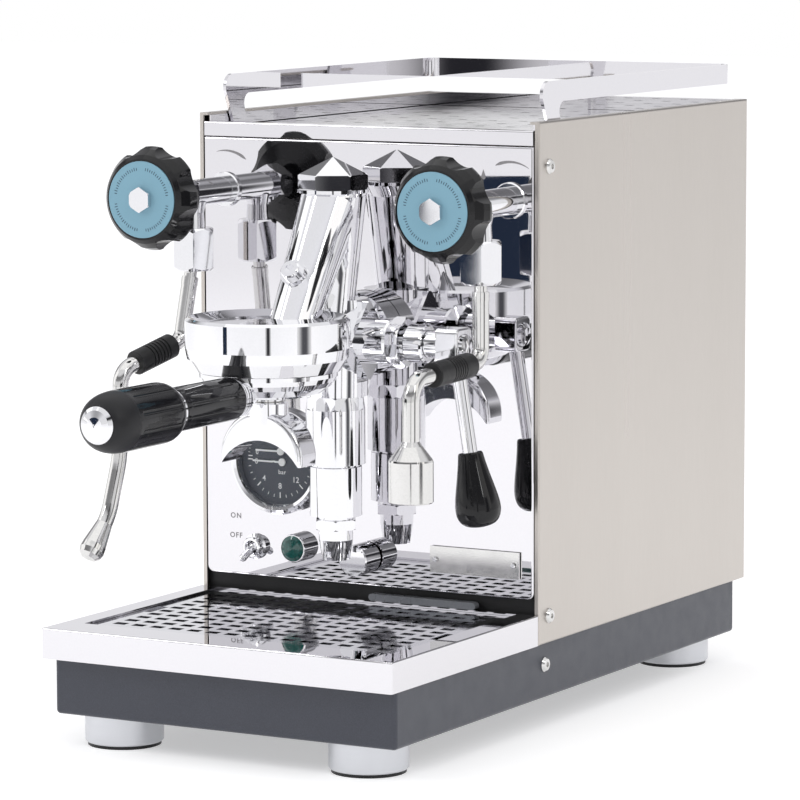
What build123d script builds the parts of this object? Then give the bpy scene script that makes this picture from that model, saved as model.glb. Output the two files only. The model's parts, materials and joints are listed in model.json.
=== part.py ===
"""Espresso machine with a lever brew group, in millimetres.

The machine stands on Z = 0. X runs to the machine's right, -Y is the side the user faces, and the
origin is the middle of the four feet. Each node is one piece, or one set of identical pieces.
"""

from build123d import *
import math
import os

# Casing
SIDE_X = 114.0  # outer face of each side panel
PANEL_Y = -52.5  # polished front panel
BACK_Y = 224.5
SIDE_LOW, SIDE_TOP = 51.0, 352.0
SHEET = 1.5
FRONT_LOW, FRONT_TOP = 77.0, 338.0
BULKHEAD_Y = -48.0  # front face of the inner bulkhead
# Base, feet and drip tray
BASE_X, BASE_Y = 111.5, 214.5
BASE_LOW = 18.3
FOOT_X, FOOT_Y, FOOT_R = 80.5, 190.0, 22.5
PAD_H = 2.0
TRAY_X, TRAY_FRONT, TRAY_BACK = 114.3, -223.5, -53.0
TRAY_LOW, TRAY_TOP = 51.3, 68.9
GRID_X, GRID_FRONT, GRID_BACK = 100.5, -199.0, -56.0
GRID_LOW, GRID_TOP = 66.3, 67.5
GRID_PITCH_X, GRID_PITCH_Y = 12.4, 12.0
# Cup tray and rail
WELL_X, WELL_BACK = 108.0, 216.0
LEDGE_LOW, LEDGE_TOP = 341.0, 342.2
RAIL_X, RAIL_LOW, RAIL_TOP = 107.3, 362.0, 374.0
# Brew group: the valve column stands in front of the panel, and the bell is in front of the column
AXIS_Y = -88.0
BELL_Y = -162.5
BELL_R = 46.5
BELL_LOW, BELL_TOP = 216.0, 246.0
NECK_TOP = 311.0
CAM_Z = 226.5
COLUMN_LOW = 194.0
JET_OUT = Vector(0, -0.839, 0.545)
JET_SEAT = Vector(0, -135.5, 269.0)
# Portafilter
HANDLE_Z = 204.0
HANDLE_START = -204.0
# Valves and wands
VALVE_X, VALVE_Z = 95.5, 307.0
BALL_Z, BALL_R = 274.0, 7.0
NUT_LOW, NUT_TOP = 262.0, 287.0
KNOB_BACK, KNOB_FRONT = -120.0, -143.5
WAND_R = 4.75
# Panel fittings, as X and Z on the front panel
GAUGE = (-58.0, 147.5)
TOGGLE = (-76.0, 95.0)
LAMP = (-46.1, 96.8)
SELECTOR = (1.0, 94.4)
PUMP_NEEDLE = (-56.0, 147.0)
BOILER_NEEDLE = (-56.0, 153.6)
# Water system
TANK = (-92.0, 92.0, 128.0, 204.0, 52.8, 290.0)
BOILER_Y, BOILER_Z, BOILER_R = (-14.0, 108.0), 234.0, 58.0


def box(x0, x1, y0, y1, z0, z1):
    """A block between two corners; x0 and x1 may come in either order."""
    centre = ((x0 + x1) / 2, (y0 + y1) / 2, (z0 + z1) / 2)
    return Pos(*centre) * Box(abs(x1 - x0), y1 - y0, z1 - z0)


def rod(radius, start, end, tip_radius=None):
    """A round bar, or a cone when tip_radius is given, from start to end."""
    start, end = Vector(*start), Vector(*end)
    plane = Plane(origin=start, z_dir=end - start)
    length = (end - start).length
    low = (Align.CENTER, Align.CENTER, Align.MIN)
    if tip_radius is None:
        return plane * Cylinder(radius, length, align=low)
    return plane * Cone(radius, tip_radius, length, align=low)


def turned(points, origin, direction=(0, 0, 1)):
    """A solid of revolution from (radius, height) points, about a line through origin."""
    z_dir = Vector(*direction)
    area = sum(a[0] * b[1] - b[0] * a[1] for a, b in zip(points, points[1:] + points[:1]))
    points = points if area > 0 else points[::-1]
    sketch = make_face(Polyline(*[(r, 0, h) for r, h in points], close=True))
    solid = revolve(sketch, axis=Axis.Z)
    return Plane(origin=origin, z_dir=z_dir) * solid


def leaning_cone(low, low_r, high, high_r):
    """A round cone whose axis leans from one point to another, cut off level at both heights."""
    start = Vector(*low)
    axis = Vector(*high) - start
    unit = axis.normalized()
    spare = 12.0
    slope = (high_r - low_r) / axis.length
    outline = [(0, 0), (low_r - slope * spare, 0), (high_r + slope * spare, axis.length + 2 * spare),
               (0, axis.length + 2 * spare)]
    cone = turned(outline, start - unit * spare, unit)
    return cone & box(-60, 60, low[1] - 80, high[1] + 80, low[2], high[2])


def hexagon(corner_r, origin, height, direction=(0, 0, 1), turn=0.0, chamfer_size=0.0):
    """A hexagonal prism whose corners are rounded off at both ends, as on a turned nut."""
    plane = Plane(origin=origin, z_dir=Vector(*direction))
    prism = extrude(Rot(0, 0, turn) * RegularPolygon(corner_r, 6), height)
    if chamfer_size:
        rim = corner_r - chamfer_size
        slope = [(0, 0), (rim, 0), (corner_r + 0.01, chamfer_size)]
        slope += [(corner_r + 0.01, height - chamfer_size), (rim, height), (0, height)]
        prism = prism & turned(slope, (0, 0, 0))
    return plane * prism


def bent(points, radii, radius):
    """A round bar along straight runs joined by arcs."""
    path = FilletPolyline(*points, radius=radii)
    start = Vector(*points[0])
    section = Plane(origin=start, z_dir=Vector(*points[1]) - start) * Circle(radius)
    return sweep(section, path=path)


def at(direction_x, direction_y, origin, reach, z):
    """A point a given reach from a valve axis, at height z."""
    return (origin[0] + direction_x * reach, origin[1] + direction_y * reach, z)


def save(name, *solids):
    shape = solids[0] if len(solids) == 1 else Compound(children=list(solids))
    export_step(shape, f"parts/{name}.step")


# ---------------------------------------------------------------- base and casing


def base_pan():
    """Painted sheet pan, open on top, with rounded lower edges."""
    outer = box(-BASE_X, BASE_X, -BASE_Y, BASE_Y, BASE_LOW, SIDE_LOW)
    outer = fillet(outer.edges().filter_by(Axis.Z), 2.6)
    outer = fillet(outer.faces().sort_by(Axis.Z)[0].edges(), 2.4)
    inner_x, inner_y = BASE_X - SHEET, BASE_Y - SHEET
    pan = outer - box(-inner_x, inner_x, -inner_y, inner_y, BASE_LOW + SHEET, SIDE_LOW + 1)
    for x in (-FOOT_X, FOOT_X):
        for y in (-FOOT_Y, FOOT_Y):
            pan -= rod(3.2, (x, y, BASE_LOW - 1), (x, y, BASE_LOW + 4))
    return pan


def feet():
    """Turned aluminium feet, each with a stud through the base."""
    solids = []
    for x in (-FOOT_X, FOOT_X):
        for y in (-FOOT_Y, FOOT_Y):
            foot = rod(FOOT_R, (x, y, PAD_H), (x, y, BASE_LOW))
            foot = chamfer(foot.edges().sort_by(Axis.Z)[0], 0.8)
            solids.append(foot + rod(3.2, (x, y, BASE_LOW - 1), (x, y, BASE_LOW + 8)))
    return solids


def foot_pads():
    return [
        rod(FOOT_R - 1.5, (x, y, 0), (x, y, PAD_H))
        for x in (-FOOT_X, FOOT_X)
        for y in (-FOOT_Y, FOOT_Y)
    ]


def chassis_frame():
    """Floor plates, front bulkhead with folded edges, and the two saddles under the boiler."""
    floor_top = SIDE_LOW + SHEET
    back = BULKHEAD_Y + SHEET
    frame = box(-112.4, 112.4, BULKHEAD_Y, 221.2, SIDE_LOW, floor_top)
    frame += box(-110.0, 110.0, -213.0, BULKHEAD_Y + 4, SIDE_LOW - SHEET, SIDE_LOW)
    frame += box(-112.4, 112.4, BULKHEAD_Y, back, SIDE_LOW, 336.0)
    for x in (-111.65, 111.65):
        frame += box(x - 0.75, x + 0.75, BULKHEAD_Y, -34.0, SIDE_LOW, 336.0)
        for z in (67.0, 326.3):
            frame -= rod(2.2, (x - 2, -40.5, z), (x + 2, -40.5, z))
    for y in (0.0, 96.0):
        frame += box(-26.0, 26.0, y, y + SHEET, SIDE_LOW, BOILER_Z - 44.0)
    openings = [(0, CAM_Z, 18.0), (*GAUGE, 30.0), (*TOGGLE, 7.0), (*LAMP, 7.5), (*SELECTOR, 4.5)]
    openings += [(-VALVE_X, VALVE_Z, 8.2), (VALVE_X, VALVE_Z, 8.2)]
    for x, z, radius in openings:
        frame -= rod(radius, (x, BULKHEAD_Y - 1, z), (x, back + 1, z))
    return frame - rod(BOILER_R + 0.1, (0, -1, BOILER_Z), (0, 110, BOILER_Z))


def side_panel(side):
    """Sheet with narrow inward lips at the front, top and back."""
    panel = box(side * (SIDE_X - SHEET), side * SIDE_X, -52.0, BACK_Y, SIDE_LOW, SIDE_TOP)
    panel += box(side * 111.0, side * SIDE_X, -52.0, -50.5, SIDE_LOW, SIDE_TOP)
    panel += box(side * WELL_X, side * SIDE_X, -52.0, BACK_Y, SIDE_TOP - SHEET, SIDE_TOP)
    panel += box(side * 105.0, side * SIDE_X, BACK_Y - SHEET, BACK_Y, SIDE_LOW, SIDE_TOP)
    outer = panel.faces().sort_by(Axis.X)[-1 if side > 0 else 0]
    panel = fillet(outer.edges(), 1.2)
    for z in (67.0, 326.3):
        panel -= rod(2.2, (side * 110, -40.5, z), (side * 116, -40.5, z))
    return panel


def rear_panel():
    """Back sheet with three columns of vents and the opening for the mains inlet."""
    panel = box(-112.4, 112.4, BACK_Y - 3.1, BACK_Y - 1.6, SIDE_LOW + SHEET, 350.0)
    slots = []
    for x in (-52.0, 0.0, 52.0):
        for row in range(9):
            z = 240.0 + 9.0 * row
            slots.append(box(x - 19, x + 19, BACK_Y - 5, BACK_Y, z, z + 3.5))
    panel -= slots
    return panel - box(-84.0, -56.0, BACK_Y - 5, BACK_Y, 71.0, 92.0)


def front_panel():
    """Mirror-polished sheet with edges turned back, and holes for every fitting."""
    skin = 1.2
    outer = box(-110.5, 110.5, PANEL_Y, BULKHEAD_Y, FRONT_LOW, FRONT_TOP)
    outer = fillet(outer.edges().filter_by(Axis.Y).group_by(Axis.Z)[0], 4.5)
    outer = fillet(outer.faces().sort_by(Axis.Y)[0].edges(), 1.4)
    inner = box(-110.5 + skin, 110.5 - skin, PANEL_Y + skin, BULKHEAD_Y + 1, FRONT_LOW + skin, FRONT_TOP - skin)
    inner = fillet(inner.edges().filter_by(Axis.Y).group_by(Axis.Z)[0], 3.4)
    panel = outer - inner
    holes = [(0, CAM_Z, 25.2), (-VALVE_X, VALVE_Z, 8.2), (VALVE_X, VALVE_Z, 8.2)]
    holes += [(*GAUGE, 29.2), (*TOGGLE, 6.2), (*LAMP, 7.2), (*SELECTOR, 4.2)]
    for x, z, radius in holes:
        panel -= rod(radius, (x, PANEL_Y - 2, z), (x, PANEL_Y + 4, z))
    return panel


def top_cover():
    """Front strip, and the sunk frame with a ledge that carries the cup tray."""
    wall = 1.2
    strip = box(-110.0, 110.0, PANEL_Y, PANEL_Y + wall, 338.5, 347.0)
    strip += box(-110.0, 110.0, PANEL_Y, -47.0, 345.8, 347.0)
    strip = fillet(strip.edges().filter_by(Axis.X).group_by(Axis.Y)[0].sort_by(Axis.Z)[-1], 1.1)
    strip += box(-WELL_X, WELL_X, -48.2, -47.0, LEDGE_LOW, 347.0)
    ring = box(-WELL_X - wall, WELL_X + wall, -48.2, WELL_BACK + wall, LEDGE_LOW, LEDGE_TOP)
    ring -= box(-98.0, 98.0, -38.0, 206.0, LEDGE_LOW - 1, LEDGE_TOP + 1)
    back = box(-107.9, 107.9, WELL_BACK, WELL_BACK + wall, LEDGE_LOW, 352.0)
    back += box(-107.9, 107.9, WELL_BACK, 222.9, 350.8, 352.0)
    cover = strip + ring + back
    for x in (-WELL_X - wall / 2, WELL_X + wall / 2):
        cover += box(x - wall / 2, x + wall / 2, -48.2, WELL_BACK + wall, LEDGE_LOW, 350.4)
    return cover


def cup_tray():
    """Loose perforated plate in the well."""
    plate = box(-104.5, 104.5, -46.5, 213.5, LEDGE_TOP, LEDGE_TOP + 1.2)
    plate = fillet(plate.edges().filter_by(Axis.Z), 6.0)
    slots = []
    for column in range(10):
        for row in range(9):
            x = 20.7 * (column - 4.5)
            y = -24.5 + 27.0 * row
            slots.append(box(x - 3.0, x + 3.0, y - 1.5, y + 1.5, LEDGE_TOP - 1, LEDGE_TOP + 3))
    return plate - slots


def cup_rail():
    """Flat polished band on two leaning front legs and one rear leg."""
    points = [(-35.5, RAIL_TOP), (190.0, RAIL_TOP), (190.0, RAIL_LOW), (-17.5, RAIL_LOW)]
    points += [(-10.4, LEDGE_TOP), (-25.4, LEDGE_TOP), (-35.5, 364.5)]
    face = make_face(Polyline(*points, close=True))
    face = fillet(face.vertices().sort_by_distance((-35.5, RAIL_TOP, 0))[0], 7.5)
    face = fillet(face.vertices().sort_by_distance((-17.5, RAIL_LOW, 0))[0], 6.0)
    plane = Plane(origin=(-RAIL_X, 0, 0), x_dir=(0, 1, 0), z_dir=(1, 0, 0))
    side = extrude(plane * face, 2.0)
    back = box(-RAIL_X, RAIL_X, 185.0, WELL_BACK, RAIL_LOW, RAIL_TOP)
    back = fillet(back.edges().filter_by(Axis.Z).group_by(Axis.Y)[-1], 8.0)
    hollow = box(2 - RAIL_X, RAIL_X - 2, 180.0, WELL_BACK - 2, RAIL_LOW - 1, RAIL_TOP + 1)
    hollow = fillet(hollow.edges().filter_by(Axis.Z).group_by(Axis.Y)[-1], 6.0)
    rail = side + Pos(2 * RAIL_X - 2.0, 0, 0) * side + (back - hollow)
    return rail + box(-8, 8, WELL_BACK - 2.0, WELL_BACK, LEDGE_TOP, RAIL_LOW + 0.5)


def casing_screws():
    """Button-head screws with a hexagon socket, in the side panels and the base."""
    solids = []
    for side in (-1, 1):
        for y, z, face in ((-40.5, 67.0, SIDE_X), (-40.5, 326.3, SIDE_X), (-41.3, 38.4, BASE_X)):
            head = turned([(0, 0), (4.4, 0), (4.4, 0.8), (3.4, 2.1), (0, 2.5)], (0, 0, 0))
            if face == SIDE_X:
                head += rod(2.2, (0, 0, -4.2), (0, 0, 0.2))
            head -= hexagon(1.7, (0, 0, 1.0), 2.0)
            solids.append(Plane(origin=(side * face, y, z), z_dir=(side, 0, 0)) * head)
    return solids


def badge_plate():
    """Blank plate on two small screws."""
    plate = box(43.5, 102.0, -54.5, -53.3, 89.0, 104.5)
    for x in (47.5, 98.0):
        plate += rod(1.6, (x, -55.0, 96.7), (x, PANEL_Y, 96.7))
    return plate


# ---------------------------------------------------------------- drip tray


def drip_tray():
    """Shallow tray whose polished rim is a folded channel round the pan."""
    outer = box(-TRAY_X, TRAY_X, TRAY_FRONT, TRAY_BACK, TRAY_LOW, TRAY_TOP)
    outer = fillet(outer.edges().filter_by(Axis.Z), 1.5)
    outer = fillet(outer.faces().sort_by(Axis.Z)[-1].edges(), 0.9)
    recess = box(-GRID_X - 0.5, GRID_X + 0.5, GRID_FRONT - 0.5, GRID_BACK + 0.5, GRID_LOW, TRAY_TOP + 1)
    well = box(-95.0, 95.0, -193.5, -61.5, TRAY_LOW + 1.2, TRAY_TOP)
    low_channel = box(-TRAY_X + 1.2, TRAY_X - 1.2, TRAY_FRONT + 1.2, -54.2, TRAY_LOW - 1, GRID_LOW - 1.2)
    low_channel -= box(-96.2, 96.2, -194.7, -60.3, TRAY_LOW - 2, TRAY_TOP)
    channel = box(-TRAY_X + 1.2, TRAY_X - 1.2, TRAY_FRONT + 1.2, -70.0, TRAY_LOW - 1, TRAY_TOP - 1.2)
    channel -= box(-102.2, 102.2, -200.7, -40.0, TRAY_LOW - 2, TRAY_TOP)
    return outer - recess - well - low_channel - channel


def drip_grid():
    """Loose plate with square holes and a finger slot on each side."""
    plate = box(-GRID_X, GRID_X, GRID_FRONT, GRID_BACK, GRID_LOW, GRID_TOP)
    holes = []
    for column in range(15):
        for row in range(11):
            x = GRID_PITCH_X * (column - 7)
            y = -183.0 + GRID_PITCH_Y * row
            holes.append(box(x - 4.0, x + 4.0, y - 3.0, y + 3.0, GRID_LOW - 1, GRID_TOP + 1))
    for x in (-95.8, 95.8):
        holes.append(box(x - 3.2, x + 3.2, -143.5, -123.5, GRID_LOW - 1, GRID_TOP + 1))
    return plate - holes


# ---------------------------------------------------------------- brew group


def group_body():
    """Cast body: bell, leaning neck, column with the cam chamber, and the boss to the bulkhead."""
    bell = turned(
        [(0, BELL_LOW), (41.2, BELL_LOW), (42.4, 218), (45.4, 223), (BELL_R, 229), (BELL_R, 244.4),
         (44.5, BELL_TOP), (41, 245.0), (34, 243.0), (0, 243.0)],
        (0, BELL_Y, 0),
    )
    neck = leaning_cone((0, -134.5, 239.0), 13.6, (0, AXIS_Y, NECK_TOP), 18.0)
    column = leaning_cone((0, -97.0, 240.0), 15.0, (0, AXIS_Y - 1.0, NECK_TOP - 2), 18.9)
    chamber = rod(19.0, (0, AXIS_Y, COLUMN_LOW), (0, AXIS_Y, 250.0))
    bridge = box(-17, 17, -130.0, AXIS_Y, 222.0, 240.5)
    boss = rod(25.0, (0, -67.5, CAM_Z), (0, BULKHEAD_Y, CAM_Z))
    boss += rod(19.0, (0, AXIS_Y, CAM_Z), (0, -66.0, CAM_Z))
    cam_boss = rod(20.0, (0, AXIS_Y, CAM_Z), (18.0, AXIS_Y, CAM_Z))
    jet_boss = rod(7.6, JET_SEAT - JET_OUT * 8, JET_SEAT)
    body = bell + neck + column + chamber + bridge + boss + cam_boss + jet_boss
    body -= turned([(0, BELL_LOW - 1), (36.5, BELL_LOW - 1), (36.5, 236.0), (0, 236.0)], (0, BELL_Y, 0))
    body -= box(18.0, 30.0, AXIS_Y - 21, AXIS_Y + 20.4, CAM_Z - 24, CAM_Z + 24)
    body -= rod(8.0, (-12, AXIS_Y, CAM_Z), (19, AXIS_Y, CAM_Z))
    body -= rod(4.0, (0, AXIS_Y, CAM_Z), (0, AXIS_Y, 302.0))
    return body


def group_cap():
    """Hexagonal cap nut with a flange below and a six-sided point."""
    y = AXIS_Y - 1.5
    cap = rod(20.5, (0, y, NECK_TOP), (0, y, NECK_TOP + 2))
    cap += hexagon(20.1, (0, y, NECK_TOP + 2), 8.5, turn=30, chamfer_size=0.7)
    low = Pos(0, y, NECK_TOP + 10.5) * Rot(0, 0, 30) * RegularPolygon(19.4, 6)
    tip = Pos(0, y, NECK_TOP + 20.0) * Rot(0, 0, 30) * RegularPolygon(0.8, 6)
    return cap + loft([low, tip])


def jet_screw():
    """Hexagon-socket screw in the front of the neck."""
    head = turned([(0, 0), (5.75, 0), (5.75, 3.2), (5.0, 4.0), (0, 4.0)], (0, 0, 0))
    head -= hexagon(2.9, (0, 0, 1.4), 3.0)
    return Plane(origin=JET_SEAT, z_dir=JET_OUT) * head


def infusion_chamber():
    """Lower chamber: top nut, two turned sleeves, a hexagon and the drain nozzle."""
    sleeve = turned(
        [(4, 98.1), (8, 98.1), (9.9, 109.8), (9.9, 115.9), (10, 115.9), (10, 124.0), (15.2, 124.0),
         (15.2, 152.6), (14.4, 153.0), (14.4, 153.8), (17.2, 154.2), (17.2, 186.0),
         (16.0, COLUMN_LOW), (4, COLUMN_LOW)],
        (0, AXIS_Y, 0),
    )
    nut = hexagon(18.5, (0, AXIS_Y, 186.0), COLUMN_LOW - 186.0, chamfer_size=1.2)
    low_nut = hexagon(13.0, (0, AXIS_Y, 115.9), 5.8, chamfer_size=0.8)
    chamber = sleeve + nut + low_nut - rod(4.0, (0, AXIS_Y, 97.0), (0, AXIS_Y, COLUMN_LOW + 1))
    chamber -= box(-1.6, 1.6, AXIS_Y - 12, AXIS_Y + 12, 97.0, 103.5)
    return chamber - box(-12, 12, AXIS_Y - 1.6, AXIS_Y + 1.6, 97.0, 103.5)


def cam_housing():
    """Bolt-on housing for the lever shaft: lozenge flange, barrel, nut and sleeve along X."""
    along = (1, 0, 0)
    plate = Plane(origin=(18.0, AXIS_Y, CAM_Z), x_dir=(0, 1, 0), z_dir=along)
    lozenge = make_face(Polyline((0, 19.0), (16.5, 0), (0, -19.0), (-16.5, 0), close=True))
    housing = plate * extrude(offset(lozenge, 3.5, kind=Kind.ARC), 5.0)
    housing += turned([(0, 0), (13.0, 0), (13.0, 16), (12.0, 18), (0, 18)], (22, AXIS_Y, CAM_Z), along)
    housing += hexagon(14.8, (40.0, AXIS_Y, CAM_Z), 8.0, along, chamfer_size=1.2)
    housing += rod(8.6, (47.5, AXIS_Y, CAM_Z), (50.5, AXIS_Y, CAM_Z))
    sleeve = [(0, 0), (10.0, 0), (11.0, 1.0), (11.0, 11.0), (10.0, 12.0), (0, 12.0)]
    housing += turned(sleeve, (50.0, AXIS_Y, CAM_Z), along)
    return housing - rod(5.05, (10, AXIS_Y, CAM_Z), (64, AXIS_Y, CAM_Z))


def lever_shaft():
    """Shaft with an offset cam at its inner end, and the block that the lever screws into."""
    shaft = rod(5.0, (13.0, AXIS_Y, CAM_Z), (65.0, AXIS_Y, CAM_Z))
    shaft += rod(5.0, (-6.0, AXIS_Y + 1.6, CAM_Z), (13.5, AXIS_Y + 1.6, CAM_Z))
    block = box(71.0, 85.0, AXIS_Y - 9.0, AXIS_Y + 9.0, CAM_Z - 10.0, CAM_Z + 10.0)
    block = fillet(block.edges().filter_by(Axis.X), 3.0)
    block = fillet(block.faces().sort_by(Axis.X)[-1].edges(), 1.2)
    cap = turned([(0, 0), (7.0, 0), (6.4, 1.6), (4.0, 2.7), (0, 3.0)], (85.0, AXIS_Y, CAM_Z), (1, 0, 0))
    return shaft + rod(8.0, (62.3, AXIS_Y, CAM_Z), (71.5, AXIS_Y, CAM_Z)) + block + cap


LEVER_TOP = Vector(80.4, AXIS_Y, CAM_Z - 10.0)
LEVER_KNOB = Vector(88.6, AXIS_Y, 166.0)




def lever_rod():
    along = (LEVER_KNOB - LEVER_TOP).normalized()
    bar = rod(4.25, LEVER_TOP - along * 4, LEVER_KNOB + along * 12)
    return bar - box(60, 100, AXIS_Y - 10, AXIS_Y + 10, CAM_Z - 10.0, CAM_Z + 5)


def lever_knob():
    """Tapered knob, thickest near its free end."""
    side = Spline((7.2, 0, 1.0), (8.6, 0, 9.0), (10.6, 0, 18.0), (12.5, 0, 27.0), (13.0, 0, 32.0),
                  (12.2, 0, 37.0), (9.6, 0, 40.6), (5.4, 0, 42.4), (0, 0, 43.0))
    rest = Polyline((0, 0, 43.0), (0, 0, 0), (6.6, 0, 0), (7.2, 0, 1.0))
    knob = revolve(make_face(Curve() + [side, rest]), axis=Axis.Z)
    knob -= rod(4.25, (0, 0, -1), (0, 0, 12.0))
    return Plane(origin=LEVER_KNOB, z_dir=LEVER_KNOB - LEVER_TOP) * knob


def brew_valve_stem():
    """Spindle that the cam lifts inside the column."""
    return rod(3.95, (0, AXIS_Y, CAM_Z + 5.5), (0, AXIS_Y, 296.0))


def shower_screen():
    return turned([(0, 233.4), (26.0, 233.4), (27.0, 234.4), (27.0, 236.0), (0, 236.0)], (0, BELL_Y, 0))


def group_gasket():
    return turned([(28.0, 231.6), (35.8, 231.6), (35.8, 236.0), (28.0, 236.0)], (0, BELL_Y, 0))


def portafilter_body():
    """Chrome bowl under the bell with the neck for the handle and the spout boss."""
    bowl = turned(
        [(0, 201.8), (24.0, 201.8), (30.0, 203.6), (36.0, 207.6), (38.2, 210.4), (39.4, 213.0),
         (39.4, 215.4), (35.0, 215.4), (35.0, 230.6), (0, 230.6)],
        (0, BELL_Y, 0),
    )
    neck = rod(8.0, (0, BELL_Y - 20, HANDLE_Z + 3.0), (0, -200.5, HANDLE_Z), 9.0)
    neck += rod(11.0, (0, -200.0, HANDLE_Z), (0, HANDLE_START, HANDLE_Z))
    body = bowl + neck + rod(9.3, (0, BELL_Y, 190.0), (0, BELL_Y, 202.5))
    body -= turned([(0, 206.0), (30.3, 206.0), (30.3, 232), (0, 232)], (0, BELL_Y, 0))
    return body - rod(3.5, (0, BELL_Y, 189.0), (0, BELL_Y, 207.0))


def filter_basket():
    """Pressed basket with a flat rim."""
    return turned(
        [(0, 207.4), (26.5, 207.4), (29.2, 210.0), (29.6, 228.0), (29.6, 230.6), (34.6, 230.6),
         (34.6, 231.2), (28.9, 231.2), (28.9, 228.0), (28.5, 210.4), (26.2, 208.1), (0, 208.1)],
        (0, BELL_Y, 0),
    )


def portafilter_handle():
    """Handle in two lengths, with a narrow waist for the ring between them."""
    rear = Polyline((0, 0, 0), (11.6, 0, 0), (12.1, 0, 1.2), (12.3, 0, 60.0), (11.4, 0, 62.0),
                    (11.4, 0, 65.0), (13.4, 0, 65.6))
    front = Spline((13.4, 0, 65.6), (16.0, 0, 69.0), (16.9, 0, 76.0), (17.0, 0, 96.0), (16.9, 0, 113.0),
                   (15.8, 0, 122.6), (13.4, 0, 128.4), (10.4, 0, 131.6))
    end = Polyline((10.4, 0, 131.6), (10.4, 0, 130.8), (0, 0, 130.8), (0, 0, 0))
    solid = revolve(make_face(Curve() + [rear, front, end]), axis=Axis.Z)
    for index in range(10):
        angle = math.radians(36.0 * index)
        for reach, size, low, high in ((17.9, 1.9, 73.0, 110.0), (13.3, 1.8, 9.0, 55.0)):
            start = Vector(reach * math.cos(angle), reach * math.sin(angle), low)
            stop = Vector(start.X, start.Y, high)
            solid -= rod(size, start, stop) + Pos(start) * Sphere(size) + Pos(stop) * Sphere(size)
    return Plane(origin=(0, HANDLE_START, HANDLE_Z), z_dir=(0, -1, 0)) * solid


def handle_trim():
    """Chrome ring round the waist and the domed end cap."""
    plane = Plane(origin=(0, HANDLE_START, HANDLE_Z), z_dir=(0, -1, 0))
    ring = turned([(11.4, 62.0), (12.9, 62.3), (12.9, 64.7), (11.4, 65.0)], (0, 0, 0))
    cap = turned([(0, 130.8), (10.2, 130.8), (10.2, 131.8), (8.2, 133.4), (4.6, 134.3), (0, 134.5)], (0, 0, 0))
    return [plane * ring, plane * cap]


def coffee_spout():
    """Double spout: a crescent whose two tips point down."""
    outer = Pos(0, 167.0) * Circle(26.5)
    inner = Pos(0, 147.7) * Circle(29.3)
    upper = Pos(0, 183.0) * Rectangle(80, 40)
    crescent = (outer - inner) & upper
    solid = Pos(0, BELL_Y + 10.0, 0) * extrude(Plane.XZ * crescent, 20.0)
    crest = solid.edges().filter_by(GeomType.CIRCLE).filter_by(lambda edge: abs(edge.radius - 26.5) < 0.01)
    solid = fillet(crest, 3.0)
    solid += rod(11.5, (0, BELL_Y, 186.0), (0, BELL_Y, 197.5))
    return solid - rod(9.3, (0, BELL_Y, 190.0), (0, BELL_Y, 200.0))


# ---------------------------------------------------------------- valves and wands


def valve_body(side):
    """Horizontal body through the panel, with a branch down to the ball nut."""
    x = side * VALVE_X
    body = rod(8.0, (x, -98.5, VALVE_Z), (x, -40.0, VALVE_Z))
    body += turned([(0, 0), (10.5, 0), (10.5, 1.6), (9.8, 2.4), (0, 2.4)], (x, PANEL_Y, VALVE_Z), (0, -1, 0))
    body += rod(11.5, (x, BULKHEAD_Y + SHEET, VALVE_Z), (x, -41.0, VALVE_Z))
    body += hexagon(12.0, (x, -98.0, VALVE_Z), 14.0, (0, -1, 0), chamfer_size=1.2)
    body += turned([(0, 0), (6.6, 0), (6.2, 10.0), (7.4, 16.0), (0, 16.0)], (x, AXIS_Y, NUT_TOP - 1))
    body += hexagon(13.25, (x, AXIS_Y, NUT_LOW), NUT_TOP - NUT_LOW, chamfer_size=2.6)
    body -= rod(3.05, (x, -115.0, VALVE_Z), (x, -70.0, VALVE_Z))
    body -= Pos(x, AXIS_Y, BALL_Z) * Sphere(BALL_R + 0.3)
    return body - rod(8.6, (x, AXIS_Y, NUT_LOW - 0.01), (x, AXIS_Y, BALL_Z - 3.0), 6.1)


def spindle(side):
    """Valve spindle and the hexagon nut that holds the knob."""
    x = side * VALVE_X
    stem = rod(3.0, (x, -80.0, VALVE_Z), (x, KNOB_FRONT - 1, VALVE_Z))
    return stem + hexagon(7.5, (x, KNOB_FRONT - 0.5, VALVE_Z), 3.0, (0, -1, 0), chamfer_size=0.6)


def knob(side):
    """Eight-lobed knob with a flat front and a hub at the back."""
    depth = KNOB_BACK - KNOB_FRONT
    body = turned(
        [(0, -5.0), (7.5, -5.0), (8.0, 0), (14.0, 0), (24.0, 5.0), (29.6, 9.0), (30.0, 11.5), (28.6, 16.5),
         (25.6, 21.4), (23.4, depth), (22.2, depth), (22.2, depth - 0.8), (0, depth - 0.8)],
        (0, 0, 0),
    )
    for index in range(8):
        angle = math.radians(22.5 + 45.0 * index)
        centre = (36.5 * math.cos(angle), 36.5 * math.sin(angle))
        body -= rod(9.4, (*centre, -1), (*centre, depth + 1), 11.0)
    body -= rod(3.02, (0, 0, -6), (0, 0, depth + 1))
    return Plane(origin=(side * VALVE_X, KNOB_BACK, VALVE_Z), z_dir=(0, -1, 0)) * body


def knob_disc(side):
    x = side * VALVE_X
    disc = rod(22.1, (x, KNOB_FRONT + 0.8, VALVE_Z), (x, KNOB_FRONT - 0.5, VALVE_Z))
    return disc - rod(3.02, (x, KNOB_FRONT + 2, VALVE_Z), (x, KNOB_FRONT - 2, VALVE_Z))


def wand_ball(side):
    """Ball with a flat on top, held in the nut."""
    ball = Pos(side * VALVE_X, AXIS_Y, BALL_Z) * Sphere(BALL_R)
    return ball - rod(2.5, (side * VALVE_X, AXIS_Y, BALL_Z - 10), (side * VALVE_X, AXIS_Y, BALL_Z + 10))


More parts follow.
